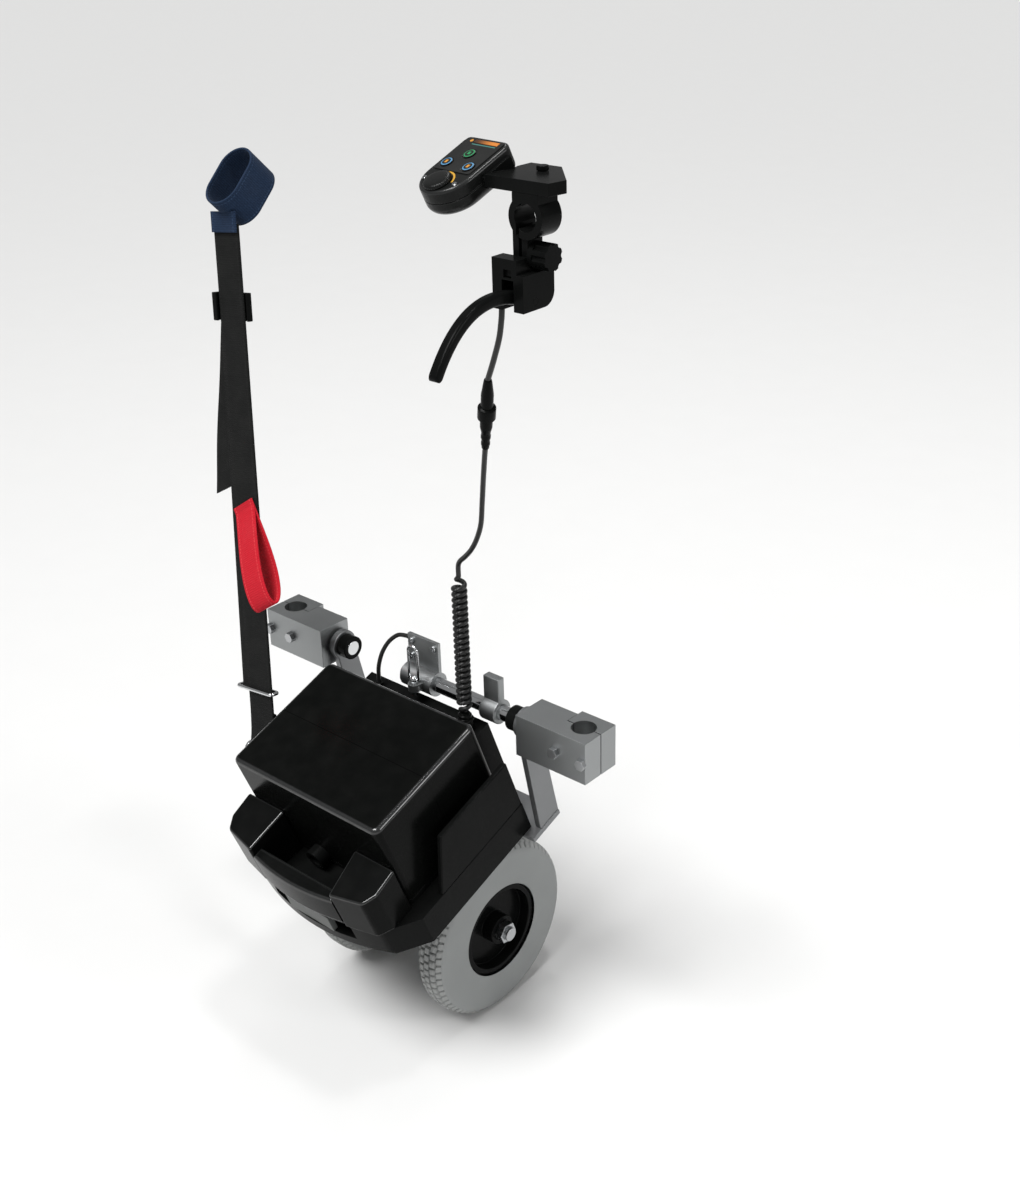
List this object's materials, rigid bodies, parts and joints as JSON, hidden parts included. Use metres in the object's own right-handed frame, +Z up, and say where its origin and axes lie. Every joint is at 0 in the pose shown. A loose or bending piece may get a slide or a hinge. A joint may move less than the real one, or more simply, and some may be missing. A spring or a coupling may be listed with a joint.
{
  "type": "wheelchair power assist",
  "caption": "Power assist for a manual wheelchair: tilted battery pack and drive tray on small wheels, hung on a crossbar, with a handle control set, curly cable and lifting strap.",
  "frame": {"origin": "middle of the crossbar that the drive unit hangs on, between the two frame clamps", "axes": "+X to the right, +Y forward, the way the chair is pushed, +Z up"},
  "size_m": [0.4956, 0.3037, 0.9368],
  "materials": {
    "chrome": "bright polished",
    "aluminium": "machined",
    "grey_alloy": "cast and blasted",
    "steel": "zinc plated",
    "black_plastic": "fine texture",
    "case_plastic": "satin, fine texture",
    "latch_plastic": "matte dark grey",
    "handset_plastic": "satin",
    "keypad_film": "semi-gloss film",
    "orange_lens": "clear print",
    "green_button": "printed dome",
    "blue_button": "printed dome",
    "board": "solder mask",
    "motor_paint": "black enamel",
    "rotor_steel": "laminations and copper",
    "battery_case": "stands for sealed batteries of the same density",
    "brass": "plain",
    "tyre": "grey, block tread",
    "cable_rubber": "smooth black sheath",
    "black_webbing": "ribbed webbing",
    "blue_webbing": "ribbed webbing",
    "red_webbing": "ribbed webbing"
  },
  "bodies": {
    "chair_side": {"crossbar": "chrome", "bar_collars": "black_plastic", "frame_clamp_left": "aluminium", "frame_clamp_right": "aluminium", "clamp_caps": "aluminium", "clamp_bolts": "steel", "handle_clamp": "black_plastic", "control_arm": "black_plastic", "handset_lower": "handset_plastic", "handset_upper": "handset_plastic", "keypad": "keypad_film", "status_lens": "orange_lens", "handset_board": "board", "throttle_housing": "black_plastic", "lever_pin": "chrome", "thin_cable": "cable_rubber", "connector": "cable_rubber", "curly_cable": "cable_rubber", "strap_loop": "blue_webbing", "strap": "black_webbing", "strap_slider": "black_plastic", "pull_loop": "red_webbing", "strap_ring": "chrome"},
    "unit": {"latch_bracket": "aluminium", "short_lead": "cable_rubber", "base_tray": "black_plastic", "side_pods": "black_plastic", "chassis_plate": "grey_alloy", "hanger_arms": "grey_alloy", "controller_box": "black_plastic", "controller_board": "board", "gearbox_halves": "grey_alloy", "motor_can": "motor_paint", "axle_bearings": "steel", "latch_spring": "steel", "strap_post": "steel", "cable_plug": "cable_rubber"},
    "wheels": {"axle": "steel", "axle_gear": "steel", "wheel_hubs": "black_plastic", "tyre_left": "tyre", "tyre_right": "tyre", "hub_nuts": "steel"},
    "rotor": {"motor_rotor": "rotor_steel"},
    "battery": {"battery_cover": "case_plastic", "battery_base": "black_plastic", "carry_handle": "black_plastic", "battery_blocks": "battery_case", "battery_link": "brass", "charge_socket": "black_plastic"},
    "latch": {"push_latch": "latch_plastic"},
    "pin": {"quick_pin": "chrome"},
    "release": {"release_lever": "aluminium"},
    "throttle": {"throttle_lever": "black_plastic"},
    "button_power": {"power_button": "green_button"},
    "button_left": {"left_button": "blue_button"},
    "button_right": {"right_button": "blue_button"},
    "dial": {"speed_dial": "handset_plastic"},
    "knob_clamp": {"clamp_knob": "black_plastic"},
    "knob_arm": {"arm_knob": "black_plastic"}
  },
  "joints": [
    {"name": "unit_lift", "type": "hinge", "parent": "chair_side", "child": "unit", "pos_m": [0, 0, 0], "axis": [-1, 0, 0], "range_deg": [0, 20], "deforming": ["curly_cable", "strap"]},
    {"name": "wheel_spin", "type": "hinge", "parent": "unit", "child": "wheels", "pos_m": [0, -0.00916, -0.268], "axis": [1, 0, 0], "continuous": true},
    {"name": "motor_spin", "type": "hinge", "parent": "unit", "child": "rotor", "pos_m": [0, 0.04286, -0.24865], "axis": [1, 0, 0], "continuous": true},
    {"name": "battery_lift", "type": "slide", "parent": "unit", "child": "battery", "axis": [0, -0.3486, 0.9373], "range_m": [0, 0.14]},
    {"name": "latch_push", "type": "slide", "parent": "unit", "child": "latch", "axis": [0, 0.9373, 0.3486], "range_m": [0, 0.004], "stiffness_N_per_m": 900, "springref_m": -0.002, "deforming": ["latch_spring"]},
    {"name": "pin_pull", "type": "slide", "parent": "unit", "child": "pin", "axis": [0, 0, 1], "range_m": [0, 0.01]},
    {"name": "release_turn", "type": "hinge", "parent": "chair_side", "child": "release", "pos_m": [0.09, 0, 0], "axis": [1, 0, 0], "range_deg": [0, 35]},
    {"name": "throttle_pull", "type": "hinge", "parent": "chair_side", "child": "throttle", "pos_m": [0.206, -0.078, 0.456], "axis": [-1, 0, 0], "range_deg": [0, 15], "stiffness_Nm_per_rad": 0.3, "springref_deg": -11.46},
    {"name": "power_press", "type": "slide", "parent": "chair_side", "child": "button_power", "axis": [0.0515, 0.4195, -0.9063], "range_m": [0, 0.0008], "stiffness_N_per_m": 500, "springref_m": -0.0004},
    {"name": "left_press", "type": "slide", "parent": "chair_side", "child": "button_left", "axis": [0.0515, 0.4195, -0.9063], "range_m": [0, 0.0008], "stiffness_N_per_m": 500, "springref_m": -0.0004},
    {"name": "right_press", "type": "slide", "parent": "chair_side", "child": "button_right", "axis": [0.0515, 0.4195, -0.9063], "range_m": [0, 0.0008], "stiffness_N_per_m": 500, "springref_m": -0.0004},
    {"name": "dial_turn", "type": "hinge", "parent": "chair_side", "child": "dial", "pos_m": [0.14413, -0.10148, 0.54321], "axis": [-0.0515, -0.4195, 0.9063], "range_deg": [-135, 135]},
    {"name": "clamp_knob_turn", "type": "hinge", "parent": "chair_side", "child": "knob_clamp", "pos_m": [0.216, -0.07, 0.4905], "axis": [1, 0, 0], "range_deg": [0, 350]},
    {"name": "arm_knob_turn", "type": "hinge", "parent": "chair_side", "child": "knob_arm", "pos_m": [0.204, -0.046, 0.5495], "axis": [0, 0, 1], "range_deg": [0, 350]}
  ],
  "couplings": [
    {"joint": "motor_spin", "follows": "wheel_spin", "ratio": -4.2857}
  ]
}
